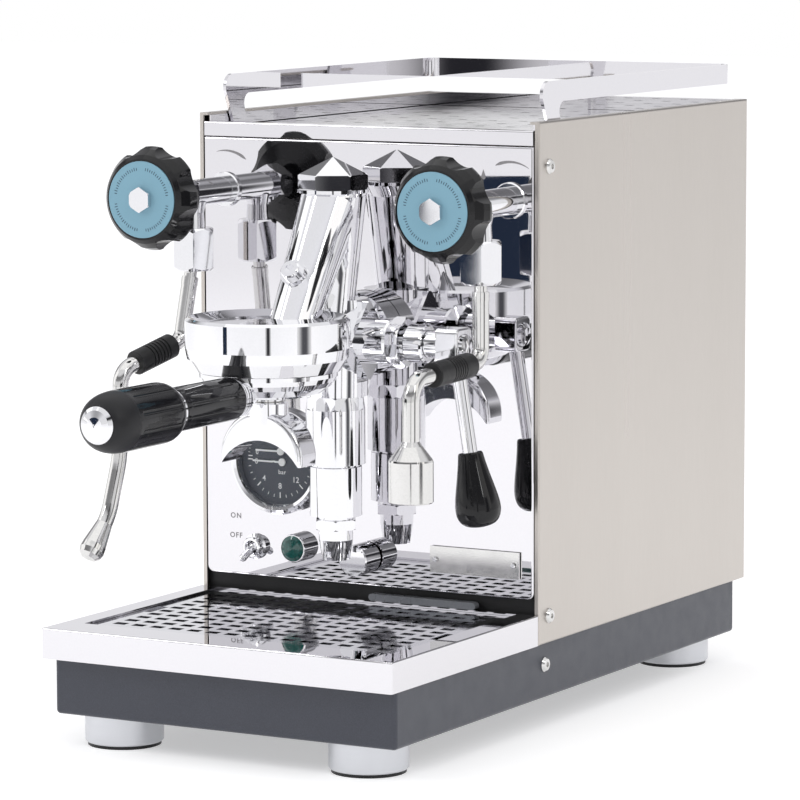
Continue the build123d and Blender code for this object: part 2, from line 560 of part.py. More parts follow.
# Each wand's centre line as (reach from the valve axis, height)
STEAM_AIM = (-math.sin(math.radians(12)), -math.cos(math.radians(12)))
WATER_AIM = (0.0, -1.0)
STEAM_LINE = [(0, BALL_Z), (11.4, 221.5), (61.5, 208.0), (62.8, 158.0), (72.5, 125.0), (88.9, 102.5)]
WATER_LINE = [(0, BALL_Z), (0, 218.0), (80.0, 215.4), (80.4, 178.0)]


def wand_points(line, aim, side):
    origin = (side * VALVE_X, AXIS_Y)
    return [at(aim[0], aim[1], origin, reach, z) for reach, z in line]


def grip_ends(points, before, after):
    """The two ends of a sleeve on the wand's sloping run, at given distances from its corners."""
    start, end = Vector(*points[1]), Vector(*points[2])
    along = (end - start).normalized()
    return start + along * before, end - along * after


def wand(line, aim, side, radii):
    """Bent tube with a collar under the ball, cut clear of the ball."""
    points = wand_points(line, aim, side)
    along = (Vector(*points[1]) - Vector(*points[0])).normalized()
    centre = Vector(*points[0])
    tube = bent([tuple(centre + along * 16), *points[1:]], radii, WAND_R)
    tube += rod(3.75, centre, centre + along * 16.5)
    tube += rod(5.0, centre + along * 16.5, centre + along * 21)
    return tube - Pos(*centre) * Sphere(BALL_R + 0.3)


def steam_wand():
    """Bent tube with a swollen, rounded tip."""
    points = wand_points(STEAM_LINE, STEAM_AIM, -1)
    end, before = Vector(*points[-1]), Vector(*points[-2])
    along = (end - before).normalized()
    tip = turned([(0, 0), (4.9, 0), (7.2, 14.0), (7.5, 17.5), (6.6, 20.6), (4.4, 22.6), (0, 23.4)], (0, 0, 0))
    tube = wand(STEAM_LINE, STEAM_AIM, -1, (9.0, 12.0, 60.0, 40.0))
    return tube + Plane(origin=end - along * 22.0, z_dir=along) * tip


def water_wand():
    """Bent tube with a cone and a sleeve that holds the strainer."""
    end = wand_points(WATER_LINE, WATER_AIM, 1)[-1]
    profile = [(0, 4.0), (4.9, 4.0), (6.4, 1.5), (12.2, -6.0), (12.5, -7.0), (12.5, -29.4), (12.0, -30.0)]
    profile += [(10.6, -30.0), (10.6, -25.0), (0, -25.0)]
    return wand(WATER_LINE, WATER_AIM, 1, (9.0, 12.0)) + turned(profile, end)


def wand_grip(line, aim, side, before, after):
    """Rubber sleeve with a band of ribs."""
    start, end = grip_ends(wand_points(line, aim, side), before, after)
    length = (end - start).length
    profile = [(WAND_R, 0), (6.6, 0), (7.2, 0.8)]
    for rib in range(6):
        h = length / 2 - 8 + 2.6 * rib
        profile += [(7.2, h), (6.5, h + 0.2), (6.5, h + 0.8), (7.2, h + 1.0)]
    profile += [(7.2, length - 0.8), (6.6, length), (WAND_R, length)]
    return Plane(origin=start, z_dir=end - start) * turned(profile, (0, 0, 0))


# ---------------------------------------------------------------- panel fittings


def gauge_case():
    """Case behind the panel with a polished bezel in front, and the dial inside."""
    case = turned(
        [(29.0, 0), (31.3, 0), (31.5, 5.5), (30.4, 7.8), (28.6, 8.6), (26.8, 8.0), (26.2, 6.6), (26.2, 1.5),
         (0, 1.5), (0, -24.0), (27.0, -24.0), (29.0, -22.0)],
        (GAUGE[0], PANEL_Y, GAUGE[1]), (0, -1, 0),
    )
    for x, z in (PUMP_NEEDLE, BOILER_NEEDLE):
        case -= rod(0.8, (x, PANEL_Y + 5, z), (x, PANEL_Y - 4, z))
    return case


def gauge_glass():
    centre = (GAUGE[0], PANEL_Y, GAUGE[1])
    return turned([(0, 5.4), (26.1, 5.4), (26.1, 6.4), (14.0, 7.6), (0, 8.0)], centre, (0, -1, 0))


def gauge_needle(spot, length, layer):
    """Bar that points to -X at zero, on a small hub."""
    x, z = spot
    y = PANEL_Y - layer
    needle = rod(2.3, (x, y, z), (x, y - 0.9, z)) + box(x - length, x, y - 0.9, y, z - 0.5, z + 0.5)
    return needle + rod(0.75, (x, PANEL_Y + 3.5, z), (x, y, z))


def panel_bezels():
    """Collar and nut of the toggle switch, barrel of the lamp and bush of the selector knob."""
    pivot = PANEL_Y - 3.0
    x, z = TOGGLE
    nut = [(0, 0), (7.6, 0), (7.6, 1.6), (6.2, 2.2), (6.2, 5.8), (5.6, 6.4), (0, 6.4)]
    toggle = turned(nut, (x, PANEL_Y, z), (0, -1, 0)) + rod(6.0, (x, PANEL_Y - 1, z), (x, PANEL_Y + 22, z))
    toggle -= Pos(x, pivot, z) * Sphere(3.3)
    toggle -= rod(2.6, (x, pivot, z), (x, pivot - 6, z), 5.4)
    x, z = LAMP
    barrel = [(0, 0), (8.5, 0), (8.5, 7.6), (8.1, 8.2), (7.7, 8.2), (7.7, 4.0), (0, 4.0)]
    lamp = turned(barrel, (x, PANEL_Y, z), (0, -1, 0)) + rod(7.0, (x, PANEL_Y - 1, z), (x, PANEL_Y + 18, z))
    x, z = SELECTOR
    bush = rod(4.0, (x, PANEL_Y - 1.0, z), (x, PANEL_Y + 18, z))
    bush -= rod(3.05, (x, PANEL_Y - 2.0, z), (x, PANEL_Y + 12, z))
    return [toggle, lamp, bush]


def toggle_lever():
    """Bat lever on a ball, pointing forward and down."""
    pivot = (TOGGLE[0], PANEL_Y - 3.0, TOGGLE[1])
    slope = math.radians(22.0)
    end = (TOGGLE[0], pivot[1] - 13.0 * math.cos(slope), TOGGLE[1] - 13.0 * math.sin(slope))
    return Pos(*pivot) * Sphere(3.0) + rod(1.6, pivot, end, 2.3) + Pos(*end) * Sphere(2.3)


def lamp_lens():
    return turned([(0, 4.0), (7.6, 4.0), (7.6, 8.0), (5.6, 9.0), (0, 9.6)], (LAMP[0], PANEL_Y, LAMP[1]), (0, -1, 0))


def selector_knob():
    """Plain polished barrel on a short shaft."""
    x, z = SELECTOR
    side = [(0, 1.3), (8.9, 1.3), (9.3, 1.8), (9.3, 17.9), (8.6, 18.6), (0, 18.6)]
    return turned(side, (x, PANEL_Y, z), (0, -1, 0)) + rod(3.0, (x, PANEL_Y - 2, z), (x, PANEL_Y + 10, z))


# ---------------------------------------------------------------- water system


def water_tank():
    x0, x1, y0, y1, z0, z1 = TANK
    outer = fillet(box(*TANK).edges().filter_by(Axis.Z), 8.0)
    wall = 2.5
    inner = box(x0 + wall, x1 - wall, y0 + wall, y1 - wall, z0 + wall, z1 + 1)
    return outer - fillet(inner.edges().filter_by(Axis.Z), 5.6)


def boiler():
    """Brazed cylinder with a neck for the safety valve, and the heating element's flange behind."""
    y0, y1 = BOILER_Y
    shell = rod(BOILER_R, (0, y0, BOILER_Z), (0, y1, BOILER_Z))
    shell -= rod(BOILER_R - 2, (0, y0 + 2, BOILER_Z), (0, y1 - 2, BOILER_Z))
    shell += rod(6.0, (0, 40.0, BOILER_Z + BOILER_R - 1.5), (0, 40.0, BOILER_Z + BOILER_R + 4))
    element = hexagon(20.0, (0, y1, BOILER_Z - 18), 6.0, (0, 1, 0), chamfer_size=1.0)
    for x in (-7.0, 7.0):
        element += rod(2.5, (x, y1 + 5.5, BOILER_Z - 18), (x, y1 + 16, BOILER_Z - 18))
    return [shell, element]


def vibration_pump():
    """Solenoid pump: coil block with brass ends."""
    pump = box(30.0, 78.0, 30.0, 82.0, SIDE_LOW + SHEET + 9, SIDE_LOW + SHEET + 63)
    mid = SIDE_LOW + SHEET + 36
    pump = fillet(pump.edges().filter_by(Axis.Y), 4.0)
    pump += rod(10.0, (54, 12, mid), (54, 108, mid)) + rod(5.0, (54, 2, mid), (54, 118, mid))
    for y in (36.0, 76.0):
        pump += rod(6.0, (54, y, SIDE_LOW + SHEET), (54, y, SIDE_LOW + SHEET + 9.5))
    return pump


def control_box():
    block = box(-104.0, -50.0, 10.0, 100.0, SIDE_LOW + SHEET, 120.0)
    return fillet(block.edges().filter_by(Axis.Z), 4.0)


def safety_valve():
    base = BOILER_Z + BOILER_R + 4
    profile = [(0, 0), (9.0, 0), (9.0, 7), (6.5, 8), (6.5, 24), (8.0, 25), (8.0, 30), (0, 31)]
    return turned(profile, (0, 40.0, base))


def boiler_pipes():
    """Copper pipes: to both valves, to the brew group and from the pump."""
    front = BOILER_Y[0]
    bend_y = front - 11
    pipes = []
    for side, height in ((-1, BOILER_Z + 36), (1, BOILER_Z + 22)):
        x = side * VALVE_X
        points = [(side * 20, front, height), (side * 20, bend_y, height), (x, bend_y, VALVE_Z), (x, -40, VALVE_Z)]
        pipes.append(bent(points, (6.0, 6.0), 3.0))
    for z in (CAM_Z - 11, CAM_Z + 11):
        pipes.append(rod(4.5, (0, BULKHEAD_Y, z), (0, front, z)))
    mid = SIDE_LOW + SHEET + 36
    feed = [(54, 2, mid), (54, -14, mid), (54, -26, 170), (24, -26, 200), (24, front, 200)]
    pipes.append(bent(feed, (8.0, 14.0, 6.0), 3.0))
    return pipes


def mains_inlet():
    """Appliance inlet with three pins, in the back panel."""
    body = box(-84.0, -56.0, 205.0, BACK_Y - 1.6, 71.0, 92.0)
    body += box(-90.0, -50.0, BACK_Y - 1.6, BACK_Y, 68.0, 95.0)
    body -= box(-81.5, -58.5, 210.0, BACK_Y + 1, 73.5, 89.5)
    for x, z in ((-75.5, 80.0), (-64.5, 80.0), (-70.0, 84.5)):
        body += box(x - 0.9, x + 0.9, 209.0, BACK_Y - 2, z - 1.8, z + 1.8)
    return body


os.makedirs("parts", exist_ok=True)
save("base_pan", base_pan())
save("feet", *feet())
save("foot_pads", *foot_pads())
save("chassis_frame", chassis_frame())
save("left_side_panel", side_panel(-1))
save("right_side_panel", side_panel(1))
save("rear_panel", rear_panel())
save("front_panel", front_panel())
save("top_cover", top_cover())
save("cup_tray", cup_tray())
save("cup_rail", cup_rail())
save("casing_screws", *casing_screws())
save("badge_plate", badge_plate())
save("drip_tray", drip_tray())
save("drip_grid", drip_grid())
save("group_body", group_body())
save("group_cap", group_cap())
save("jet_screw", jet_screw())
save("infusion_chamber", infusion_chamber())
save("cam_housing", cam_housing())
save("lever_shaft", lever_shaft())
save("lever_rod", lever_rod())
save("lever_knob", lever_knob())
save("brew_valve_stem", brew_valve_stem())
save("shower_screen", shower_screen())
save("group_gasket", group_gasket())
save("portafilter_body", portafilter_body())
save("filter_basket", filter_basket())
save("portafilter_handle", portafilter_handle())
save("handle_trim", *handle_trim())
save("coffee_spout", coffee_spout())
for side, name in ((-1, "steam"), (1, "water")):
    save(f"{name}_valve_body", valve_body(side))
    save(f"{name}_spindle", spindle(side))
    save(f"{name}_knob", knob(side))
    save(f"{name}_disc", knob_disc(side))
    save(f"{name}_ball", wand_ball(side))
save("steam_wand", steam_wand())
save("water_wand", water_wand())
save("steam_grip", wand_grip(STEAM_LINE, STEAM_AIM, -1, 8.5, 12.5))
save("water_grip", wand_grip(WATER_LINE, WATER_AIM, 1, 14.0, 23.0))
save("gauge_case", gauge_case())
save("gauge_glass", gauge_glass())
save("pump_needle", gauge_needle(PUMP_NEEDLE, 20.0, 2.2))
save("boiler_needle", gauge_needle(BOILER_NEEDLE, 17.0, 3.8))
save("panel_bezels", *panel_bezels())
save("toggle_lever", toggle_lever())
save("lamp_lens", lamp_lens())
save("selector_knob", selector_knob())
save("water_tank", water_tank())
save("boiler", *boiler())
save("vibration_pump", vibration_pump())
save("control_box", control_box())
save("safety_valve", safety_valve())
save("boiler_pipes", *boiler_pipes())
save("mains_inlet", mains_inlet())
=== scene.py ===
"""Looks for the espresso machine: finishes, dial and panel marks, small trim and a soft white studio."""

import json
import math

import bpy
from mathutils import Matrix, Quaternion, Vector


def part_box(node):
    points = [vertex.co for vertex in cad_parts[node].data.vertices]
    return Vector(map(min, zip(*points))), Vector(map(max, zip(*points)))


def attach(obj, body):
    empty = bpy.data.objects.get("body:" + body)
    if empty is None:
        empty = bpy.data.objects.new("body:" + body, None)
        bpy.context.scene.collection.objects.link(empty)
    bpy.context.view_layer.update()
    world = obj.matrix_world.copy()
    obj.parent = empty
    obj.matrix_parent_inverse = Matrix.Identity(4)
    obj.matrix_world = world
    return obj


MM = 0.001
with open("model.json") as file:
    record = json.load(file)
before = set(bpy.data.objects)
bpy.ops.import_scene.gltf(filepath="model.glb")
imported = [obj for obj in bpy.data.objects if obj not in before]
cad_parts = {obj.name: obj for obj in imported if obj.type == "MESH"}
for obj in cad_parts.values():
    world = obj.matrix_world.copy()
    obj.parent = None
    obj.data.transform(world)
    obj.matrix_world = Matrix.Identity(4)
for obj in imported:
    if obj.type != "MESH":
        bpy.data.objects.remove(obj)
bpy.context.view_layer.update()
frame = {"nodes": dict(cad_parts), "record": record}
nodes = frame["nodes"]


# ------------------------------------------------------------------ node materials


def link(tree, a, b):
    """Joins output a to input b."""
    tree.links.new(a, b)


def noise(tree, coord, scale, stretch=(1, 1, 1), detail=3.0):
    """Noise in the part's own coordinates."""
    mapping = tree.nodes.new("ShaderNodeMapping")
    mapping.inputs["Scale"].default_value = stretch
    texture = tree.nodes.new("ShaderNodeTexNoise")
    texture.inputs["Scale"].default_value = scale
    texture.inputs["Detail"].default_value = detail
    link(tree, coord.outputs["Object"], mapping.inputs["Vector"])
    link(tree, mapping.outputs["Vector"], texture.inputs["Vector"])
    return texture.outputs["Fac"]


def spread(tree, value, low, high, start=0.3, stop=0.7):
    """Maps a value between start and stop to the range low to high."""
    node = tree.nodes.new("ShaderNodeMapRange")
    for name, number in (("From Min", start), ("From Max", stop), ("To Min", low), ("To Max", high)):
        node.inputs[name].default_value = number
    link(tree, value, node.inputs["Value"])
    return node.outputs["Result"]


def finish_of(name, color, metallic=0.0, rough=(0.3, 0.4), tint=0.04, patch=60.0, grain=900.0, bump=0.0,
              stretch=(1, 1, 1), **sockets):
    """A Principled material whose colour, roughness and surface all vary a little over the part."""
    made = bpy.data.materials.new(name)
    made.use_nodes = True
    tree = made.node_tree
    shader = tree.nodes["Principled BSDF"]
    coord = tree.nodes.new("ShaderNodeTexCoord")
    shader.inputs["Metallic"].default_value = metallic
    for socket, value in sockets.items():
        shader.inputs[socket.replace("_", " ")].default_value = value
    broad = noise(tree, coord, patch, stretch)
    link(tree, spread(tree, broad, *rough), shader.inputs["Roughness"])
    mix = tree.nodes.new("ShaderNodeMix")
    mix.data_type = "RGBA"
    mix.inputs[6].default_value = (*[c * (1 - tint) for c in color], 1)
    mix.inputs[7].default_value = (*[min(1, c * (1 + tint)) for c in color], 1)
    fine = noise(tree, coord, grain, stretch, 4.0)
    link(tree, spread(tree, fine, 0, 1), mix.inputs[0])
    link(tree, mix.outputs[2], shader.inputs["Base Color"])
    if bump:
        bumps = tree.nodes.new("ShaderNodeBump")
        bumps.inputs["Strength"].default_value = bump
        bumps.inputs["Distance"].default_value = 0.0002
        link(tree, fine, bumps.inputs["Height"])
        link(tree, bumps.outputs["Normal"], shader.inputs["Normal"])
    return made


MIRROR = finish_of("mirror_steel", (0.74, 0.73, 0.755), 1.0, (0.008, 0.03), 0.01, 14.0)
CHROME = finish_of("chrome", (0.80, 0.80, 0.82), 1.0, (0.02, 0.06), 0.015, 40.0)
GRID = finish_of("grid_steel", (0.70, 0.70, 0.73), 1.0, (0.05, 0.12), 0.03, 40.0)
SATIN = finish_of("satin_steel", (0.56, 0.525, 0.49), 1.0, (0.27, 0.33), 0.015, 25.0, 1400.0, 0.02,
                  (1, 1, 0.05))
TRAY = finish_of("cup_tray_steel", (0.80, 0.80, 0.80), 1.0, (0.12, 0.2), 0.03, 60.0)
TUBE = finish_of("tube_steel", (0.68, 0.675, 0.665), 1.0, (0.06, 0.12), 0.03, 80.0, 900.0, 0.02)
BASE = finish_of("base_paint", (0.040, 0.044, 0.060), 0.1, (0.30, 0.42), 0.25, 90.0, 2600.0, 0.4,
                 Coat_Weight=0.12)
FRAME = finish_of("frame_paint", (0.012, 0.012, 0.013), 0.0, (0.5, 0.6), 0.1)
ALUMINIUM = finish_of("aluminium", (0.66, 0.67, 0.70), 0.85, (0.34, 0.42), 0.02, 60.0, 1500.0, 0.05,
                      (1, 1, 8))
RUBBER = finish_of("rubber", (0.010, 0.010, 0.011), 0.0, (0.35, 0.5), 0.2, 200.0, 3000.0, 0.15,
                   Specular_IOR_Level=0.35)
KNOB = finish_of("knob_black", (0.008, 0.008, 0.009), 0.0, (0.05, 0.1), 0.1, 90.0, Specular_IOR_Level=0.32)
DISC = finish_of("disc_blue", (0.195, 0.375, 0.475), 0.0, (0.3, 0.42), 0.03, 120.0, 2500.0, 0.03)
INK = finish_of("disc_ink", (0.03, 0.07, 0.11), 0.0, (0.4, 0.5), 0.05)
DIAL = finish_of("dial_slate", (0.075, 0.083, 0.105), 0.0, (0.4, 0.5), 0.04, 200.0)
WHITE = finish_of("white_ink", (0.9, 0.9, 0.9), 0.0, (0.4, 0.5), 0.02)
GREY = finish_of("grey_ink", (0.28, 0.27, 0.28), 0.0, (0.4, 0.5), 0.03)
LENS = finish_of("lamp_green", (0.004, 0.085, 0.072), 0.0, (0.05, 0.1), 0.35, 500.0, 700.0, 0.3,
                 Coat_Weight=0.6)
PLASTIC = finish_of("black_plastic", (0.02, 0.02, 0.02), 0.0, (0.4, 0.5), 0.1)
COPPER = finish_of("copper", (0.72, 0.36, 0.24), 1.0, (0.25, 0.4), 0.12, 40.0)
BRASS = finish_of("brass", (0.75, 0.56, 0.28), 1.0, (0.25, 0.4), 0.1, 50.0)
TANK = finish_of("tank_plastic", (0.9, 0.93, 0.95), 0.0, (0.15, 0.25), 0.02, Transmission_Weight=0.85,
                 IOR=1.45)
BAR = finish_of("bar_grey", (0.24, 0.25, 0.27), 0.4, (0.25, 0.35), 0.05)
GLASS = finish_of("gauge_glass", (0.98, 0.99, 0.99), 0.0, (0.0, 0.02), 0.0, Transmission_Weight=1.0,
                  IOR=1.12)
HANDLE = finish_of("handle_black", (0.009, 0.009, 0.011), 0.0, (0.05, 0.1), 0.1, 90.0,
                   Specular_IOR_Level=0.32)


def matte_end(made, y_edge):
    """Makes the handle's domed end matte: its roughness rises in front of y_edge, in metres."""
    tree = made.node_tree
    shader = tree.nodes["Principled BSDF"]
    old = shader.inputs["Roughness"].links[0].from_socket
    split = tree.nodes.new("ShaderNodeSeparateXYZ")
    link(tree, tree.nodes["Texture Coordinate"].outputs["Object"], split.inputs[0])
    past = spread(tree, split.outputs["Y"], 1, 0, y_edge - 0.002, y_edge)
    mix = tree.nodes.new("ShaderNodeMix")
    link(tree, past, mix.inputs[0])
    link(tree, old, mix.inputs[2])
    mix.inputs[3].default_value = 0.42
    link(tree, mix.outputs[0], shader.inputs["Roughness"])


MATTE_FROM_Y = -0.317
matte_end(HANDLE, MATTE_FROM_Y)

FINISHES = {
    "mirror_steel": MIRROR, "chrome": CHROME, "satin_steel": SATIN, "tube_steel": TUBE, "base_paint": BASE,
    "frame_paint": FRAME, "aluminium": ALUMINIUM, "rubber": RUBBER, "black_plastic": PLASTIC,
    "disc_blue": DISC,
    "glass": GLASS, "dial_steel": CHROME, "needle_white": WHITE, "lamp_green": LENS, "copper": COPPER,
    "brass": BRASS, "tank_plastic": TANK,
}
OWN = {
    "drip_grid": GRID, "cup_tray": TRAY, "portafilter_handle": HANDLE, "steam_knob": KNOB, "water_knob": KNOB,
    "lever_knob": KNOB,
}
SLOT_OF = {row["node"]: row["material_slot"] for row in frame["record"]["subparts"]}
for name, node in nodes.items():
    node.data.materials.clear()
    node.data.materials.append(OWN.get(name) or FINISHES[SLOT_OF[name]])


# ------------------------------------------------------------------ building pieces


def piece(name, verts, faces, material, body, smooth=True):
    """A mesh object that rides on a body."""
    data = bpy.data.meshes.new(name)
    data.from_pydata([tuple(v) for v in verts], [], faces)
    data.materials.append(material)
    data.update()
    if smooth:
        data.shade_smooth()
        data.set_sharp_from_angle(angle=math.radians(35))
    made = bpy.data.objects.new(name, data)
    bpy.context.scene.collection.objects.link(made)
    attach(made, body)
    return made


def axes_for(direction):
    """Two cross directions and the direction itself."""
    turn = Vector(direction).to_track_quat("Z", "Y")
    return turn @ Vector((1, 0, 0)), turn @ Vector((0, 1, 0)), turn @ Vector((0, 0, 1))


def lathe(name, profile, origin, direction, material, body, steps=96):
    """A ring or button turned from (radius, height) pairs in millimetres; a closed outline."""
    x, y, z = axes_for(direction)
    verts, faces, count = [], [], len(profile)
    for step in range(steps):
        angle = 2 * math.pi * step / steps
        out = x * math.cos(angle) + y * math.sin(angle)
        verts += [Vector(origin) + out * (r * MM) + z * (h * MM) for r, h in profile]
    for step in range(steps):
        a, b = step * count, ((step + 1) % steps) * count
        for i in range(count):
            j = (i + 1) % count
            faces.append((a + i, b + i, b + j, a + j))
    return piece(name, verts, faces, material, body)


def plate(name, outline, y, thickness, material, body):
    """A thin flat shape from (x, z) points in millimetres, its front thickness in front of y."""
    front = [Vector((px, y - thickness, pz)) * MM for px, pz in outline]
    back = [Vector((px, y, pz)) * MM for px, pz in outline]
    n = len(outline)
    faces = [tuple(range(n)), tuple(range(2 * n - 1, n - 1, -1))]
    faces += [(i, i + n, (i + 1) % n + n, (i + 1) % n) for i in range(n)]
    return piece(name, front + back, faces, material, body, smooth=False)


def marks(name, quads, y, thickness, material, body):
    """Many flat four-sided marks as one mesh; quads holds lists of four (x, z) points in millimetres."""
    verts, faces = [], []
    for quad in quads:
        first = len(verts)
        verts += [Vector((px, y - thickness, pz)) * MM for px, pz in quad]
        verts += [Vector((px, y, pz)) * MM for px, pz in quad]
        faces.append(tuple(first + i for i in range(4)))
        faces += [(first + i, first + 4 + i, first + 4 + (i + 1) % 4, first + (i + 1) % 4) for i in range(4)]
    return piece(name, verts, faces, material, body, smooth=False)


def ray_quad(centre, angle, inner, outer, width):
    """A short bar that points away from centre."""
    c, s = math.cos(math.radians(angle)), math.sin(math.radians(angle))
    half = width / 2
    corners = ((inner, -half), (outer, -half), (outer, half), (inner, half))
    return [(centre[0] + c * r - s * t, centre[1] + s * r + c * t) for r, t in corners]


def text(name, words, height, x, z, y, material, body, spacing=1.0, thickness=0.03, weight=0.03):
    """Lettering centred at (x, z) in millimetres, standing a hair in front of y."""
    curve = bpy.data.curves.new(name, "FONT")
    curve.body = words
    curve.size = height / 0.7 * MM
    curve.extrude = thickness / 2 * MM
    curve.align_x, curve.align_y = "CENTER", "CENTER"
    curve.offset = weight * MM
    curve.space_character = spacing
    curve.resolution_u = 4
    holder = bpy.data.objects.new(name + "_curve", curve)
    bpy.context.scene.collection.objects.link(holder)
    bpy.context.view_layer.update()
    data = bpy.data.meshes.new_from_object(holder.evaluated_get(bpy.context.evaluated_depsgraph_get()))
    bpy.data.objects.remove(holder)
    data.name = name
    data.materials.clear()
    data.materials.append(material)
    made = bpy.data.objects.new(name, data)
    bpy.context.scene.collection.objects.link(made)
    made.rotation_euler = (math.radians(90), 0, 0)
    made.location = Vector((x, y - thickness / 2, z)) * MM
    bpy.context.view_layer.update()
    data.transform(made.matrix_world)
    made.matrix_world = Matrix.Identity(4)
    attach(made, body)
    return made


# ------------------------------------------------------------------ gauge dial

case_low, case_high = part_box("gauge_case")
GX, GZ = (case_low.x + case_high.x) / 2 / MM, (case_low.z + case_high.z) / 2 / MM
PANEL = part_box("front_panel")[0].y / MM
DIAL_Y = PANEL - 1.5
DIAL_R, DIAL_THICK = 26.1, 0.25
UPPER = 2  # the boiler scale's centre stands this far above the dial's
INK_THICK = 0.03
lathe("dial_face", [(0.01, 0), (DIAL_R, 0), (DIAL_R, DIAL_THICK), (0.01, DIAL_THICK)],
      Vector((GX, DIAL_Y, GZ)) * MM, (0, -1, 0), DIAL, "chassis")
FACE = DIAL_Y - DIAL_THICK
ticks = []
for step in range(17):
    angle = 180 + 180 * step / 16
    ticks.append(ray_quad((GX, GZ), angle, 20.2 if step % 4 else 18.6, 22.0, 0.35 if step % 4 else 0.7))
for step in range(31):
    angle = 180 - 180 * step / 30
    ticks.append(ray_quad((GX, GZ + UPPER), angle, 20.6 if step % 5 else 18.8, 21.8, 0.3 if step % 5 else 0.6))
marks("dial_ticks", ticks, FACE, INK_THICK, WHITE, "chassis")
PUMP_NUMBERS = (("0", 184, 16.2), ("4", 225, 15.4), ("8", 270, 15.0), ("12", 315, 15.2), ("16", 356, 16.6))
BOILER_NUMBERS = (("0", 172, 15.8), ("1", 120, 15.4), ("2", 60, 15.4), ("3", 10, 16.0))
for scale, numbers, rise, height in (("pump", PUMP_NUMBERS, 0, 3.3), ("boiler", BOILER_NUMBERS, UPPER, 2.6)):
    for words, angle, radius in numbers:
        x = GX + radius * math.cos(math.radians(angle))
        z = GZ + rise + radius * math.sin(math.radians(angle))
        text(f"dial_{scale}_{words}", words, height, x, z, FACE, WHITE, "chassis")
text("dial_unit", "bar", 2.6, GX + 1.5, GZ - 6.6, FACE, WHITE, "chassis", 1.1)

# ------------------------------------------------------------------ marks on the front panel

text("word_on", "ON", 3.1, -90.0, 112.4, PANEL, GREY, "chassis", 1.25, weight=0.1)
text("word_off", "OFF", 3.1, -90.0, 100.6, PANEL, GREY, "chassis", 1.2, weight=0.1)


def tapered_arc(name, centre, radius, start, stop, thick):
    """A curved mark over a valve, thick in the middle of its length and pointed at its end."""
    outer, inner = [], []
    for step in range(25):
        share = step / 24
        angle = math.radians(start + (stop - start) * share)
        half = thick / 2 * min(1, 6 * share + 0.2) * (1 - share) ** 0.6
        c, s = math.cos(angle), math.sin(angle)
        outer.append((centre[0] + (radius + half) * c, centre[1] + (radius + half) * s))
        inner.append((centre[0] + (radius - half) * c, centre[1] + (radius - half) * s))
    quads = [[outer[i], outer[i + 1], inner[i + 1], inner[i]] for i in range(24)]
    marks(name, quads, PANEL, INK_THICK, GREY, "chassis")


VALVE_X, VALVE_Z = 95.5, 307.0
tapered_arc("steam_arc", (-VALVE_X, VALVE_Z), 23.0, 52, 106, 2.0)
tapered_arc("water_arc", (VALVE_X, VALVE_Z), 22.0, 116, 56, 2.0)
DROP_X, DROP_Z, DROP_R = 78, 320, 1.5
drop = []
for step in range(-200, 21, 20):
    angle = math.radians(step)
    drop.append((DROP_X + DROP_R * math.cos(angle), DROP_Z + DROP_R * math.sin(angle)))
plate("drop_mark", drop + [(DROP_X, 324.4)], PANEL, INK_THICK, GREY, "chassis")

# ------------------------------------------------------------------ small trim

for name in ("steam", "water"):
    low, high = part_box(f"{name}_disc")
    cx, cz, front = (low.x + high.x) / 2 / MM, (low.z + high.z) / 2 / MM, low.y / MM
    dashes = []
    for step in range(72):
        if step % 18 in (0, 1, 17):
            continue
        dashes.append(ray_quad((cx, cz), 90 + 5 * step, 16.8, 18.4 if step % 3 else 18.8, 0.5))
    marks(f"{name}_disc_marks", dashes, front, INK_THICK, INK, f"{name}_control")

SCREW_INSET = 0.0035
SCREW = [(0.01, 0), (1.5, 0), (1.5, 0.5), (1.0, 0.9), (0.5, 0.9), (0.5, 0.4), (0.01, 0.4)]
low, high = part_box("badge_plate")
for i, x in enumerate((low.x + SCREW_INSET, high.x - SCREW_INSET)):
    lathe(f"badge_screw_{i}", SCREW, Vector((x, low.y, (low.z + high.z) / 2)), (0, -1, 0),
          CHROME, "chassis", 32)

BOWL_Y, HANDLE_Z = -162.5, 204.0
THREAD_LOW, THREAD_PITCH = 195.2, 1.7
THREAD = [(9.2, -0.7), (10.0, 0), (9.2, 0.7)]
for i in range(4):
    z = THREAD_LOW + THREAD_PITCH * i
    lathe(f"spout_thread_{i}", THREAD, Vector((0, BOWL_Y, z)) * MM, (0, 0, 1), TUBE, "portafilter")
RING = [(8.0, -0.9), (11.2, -0.5), (11.2, 0.5), (8.0, 0.9)]
for i, y in enumerate((-196.5, -199.0, -201.6)):
    lathe(f"neck_ring_{i}", RING, Vector((0, y, HANDLE_Z)) * MM, (0, -1, 0), CHROME, "portafilter")

BAR_LEFT, BAR_RIGHT, BAR_Z, BAR_R = 5.0, 72.0, 71.2, 2.1
outline = []
for x, first in ((BAR_LEFT, 90), (BAR_RIGHT, -90)):
    for step in range(13):
        angle = math.radians(first + 15 * step)
        outline.append((x + BAR_R * math.cos(angle), BAR_Z + BAR_R * math.sin(angle)))
plate("tray_stop_bar", outline, -51.0, 5.0, BAR, "chassis")

# ------------------------------------------------------------------ studio


def plane(name, centre, normal, width, height, material):
    """A flat card for the floor, a light or a flag; it rides on no body."""
    x, y, _ = axes_for(normal)
    c = Vector(centre)
    corners = [c - x * width / 2 - y * height / 2, c + x * width / 2 - y * height / 2,
               c + x * width / 2 + y * height / 2, c - x * width / 2 + y * height / 2]
    data = bpy.data.meshes.new(name)
    data.from_pydata([tuple(v) for v in corners], [], [(0, 1, 2, 3)])
    data.materials.append(material)
    made = bpy.data.objects.new(name, data)
    bpy.context.scene.collection.objects.link(made)
    return made


